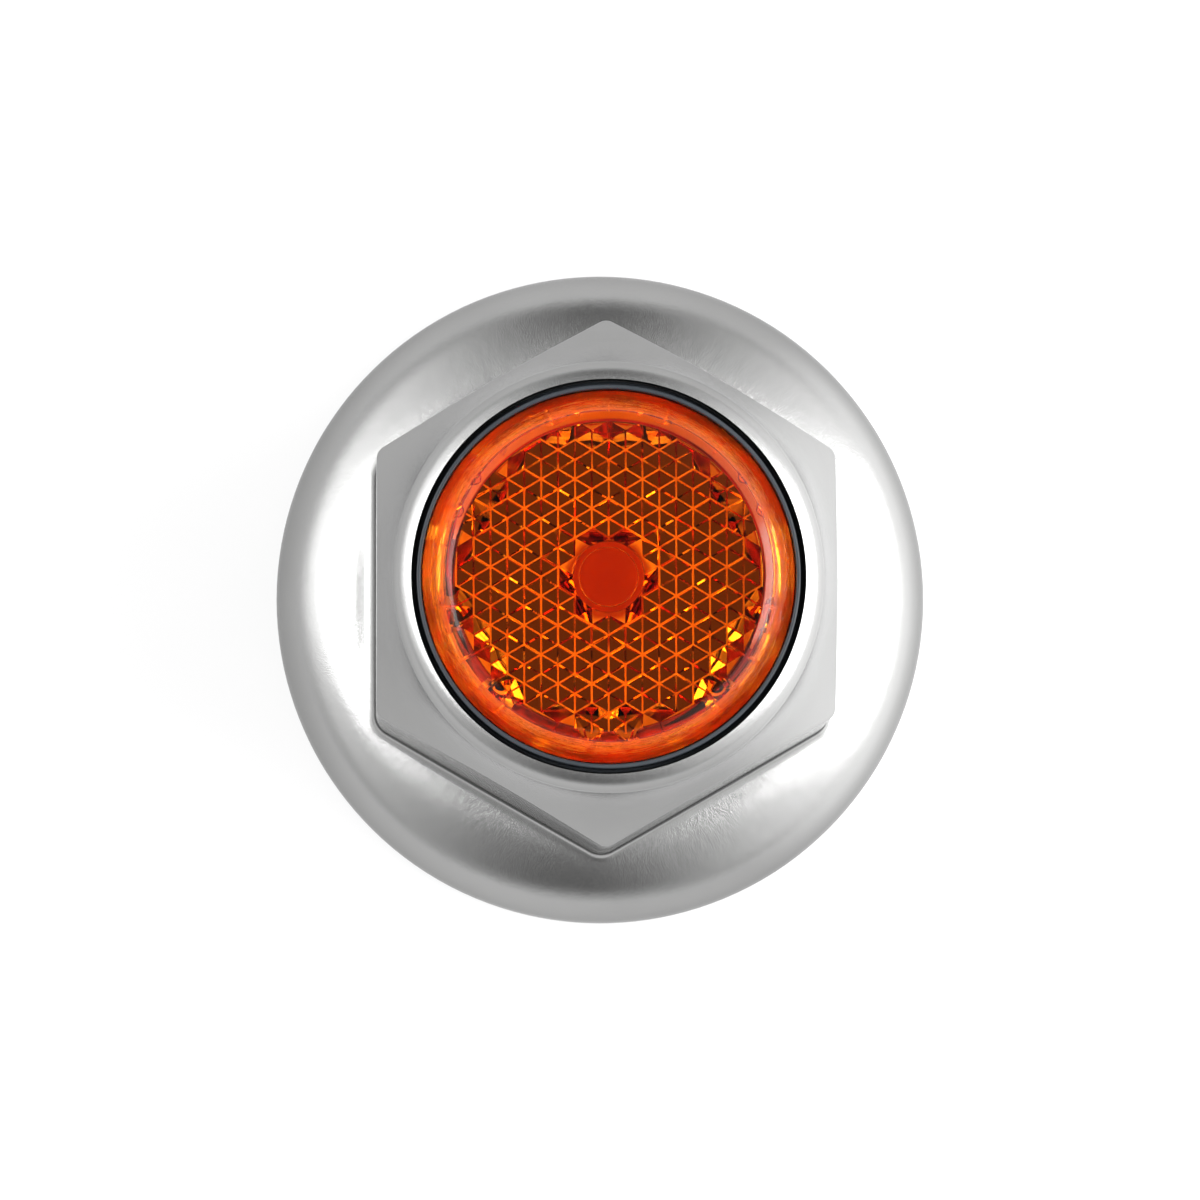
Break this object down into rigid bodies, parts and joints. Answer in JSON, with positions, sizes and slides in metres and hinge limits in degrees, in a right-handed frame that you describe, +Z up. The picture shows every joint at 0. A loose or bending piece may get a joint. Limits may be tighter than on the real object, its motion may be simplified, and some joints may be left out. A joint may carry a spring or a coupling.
{
  "type": "reflective wheel nut cover",
  "caption": "Push-on stainless cover for a hexagonal truck wheel nut: domed flange, hex body, flared nose with a round amber prism reflector, and sprung leaves that grip the nut.",
  "frame": {"origin": "centre of the flange's rim, on the plane that the rim rests on", "axes": "+Z up the cover's axis towards the reflector; flats of the hexagon towards +X and -X, corners towards +Y and -Y"},
  "size_m": [0.053, 0.053, 0.06],
  "materials": {
    "stainless_shell": "bright drawn stainless steel, faint satin grain",
    "amber_lens": "clear amber acrylic, polished front, cube-corner prisms behind",
    "dark_plastic": "dark slate-grey moulded ABS",
    "orange_plastic": "orange moulded ABS, matt inside",
    "black_rubber": "matt black rubber",
    "spring_steel": "rolled spring steel, light oil film",
    "rivet_steel": "zinc plated steel"
  },
  "bodies": {
    "cover": {"cover_shell": "stainless_shell", "reflector_lens": "amber_lens", "reflector_housing": "dark_plastic", "reflector_cup": "orange_plastic", "reflector_gasket": "black_rubber", "retaining_ring": "spring_steel", "retainer_band": "spring_steel", "rivet_1a": "rivet_steel", "rivet_1b": "rivet_steel", "rivet_2a": "rivet_steel", "rivet_2b": "rivet_steel", "rivet_3a": "rivet_steel", "rivet_3b": "rivet_steel", "rivet_4a": "rivet_steel", "rivet_4b": "rivet_steel", "rivet_5a": "rivet_steel", "rivet_5b": "rivet_steel", "rivet_6a": "rivet_steel", "rivet_6b": "rivet_steel"},
    "leaf_1": {"leaf_spring_1": "spring_steel"},
    "leaf_2": {"leaf_spring_2": "spring_steel"},
    "leaf_3": {"leaf_spring_3": "spring_steel"},
    "leaf_4": {"leaf_spring_4": "spring_steel"},
    "leaf_5": {"leaf_spring_5": "spring_steel"},
    "leaf_6": {"leaf_spring_6": "spring_steel"}
  },
  "joints": [
    {"name": "leaf_1_flex", "type": "hinge", "parent": "cover", "child": "leaf_1", "pos_m": [0.01535, 0, 0.037], "axis": [0, -1, 0], "range_deg": [0, 2.5], "stiffness_Nm_per_rad": 5},
    {"name": "leaf_2_flex", "type": "hinge", "parent": "cover", "child": "leaf_2", "pos_m": [0.00768, 0.01329, 0.037], "axis": [0.866, -0.5, 0], "range_deg": [0, 2.5], "stiffness_Nm_per_rad": 5},
    {"name": "leaf_3_flex", "type": "hinge", "parent": "cover", "child": "leaf_3", "pos_m": [-0.00768, 0.01329, 0.037], "axis": [0.866, 0.5, 0], "range_deg": [0, 2.5], "stiffness_Nm_per_rad": 5},
    {"name": "leaf_4_flex", "type": "hinge", "parent": "cover", "child": "leaf_4", "pos_m": [-0.01535, 0, 0.037], "axis": [0, 1, 0], "range_deg": [0, 2.5], "stiffness_Nm_per_rad": 5},
    {"name": "leaf_5_flex", "type": "hinge", "parent": "cover", "child": "leaf_5", "pos_m": [-0.00768, -0.01329, 0.037], "axis": [-0.866, 0.5, 0], "range_deg": [0, 2.5], "stiffness_Nm_per_rad": 5},
    {"name": "leaf_6_flex", "type": "hinge", "parent": "cover", "child": "leaf_6", "pos_m": [0.00768, -0.01329, 0.037], "axis": [-0.866, -0.5, 0], "range_deg": [0, 2.5], "stiffness_Nm_per_rad": 5}
  ],
  "couplings": [
    {"joint": "leaf_2_flex", "follows": "leaf_1_flex", "ratio": 1},
    {"joint": "leaf_3_flex", "follows": "leaf_1_flex", "ratio": 1},
    {"joint": "leaf_4_flex", "follows": "leaf_1_flex", "ratio": 1},
    {"joint": "leaf_5_flex", "follows": "leaf_1_flex", "ratio": 1},
    {"joint": "leaf_6_flex", "follows": "leaf_1_flex", "ratio": 1}
  ]
}
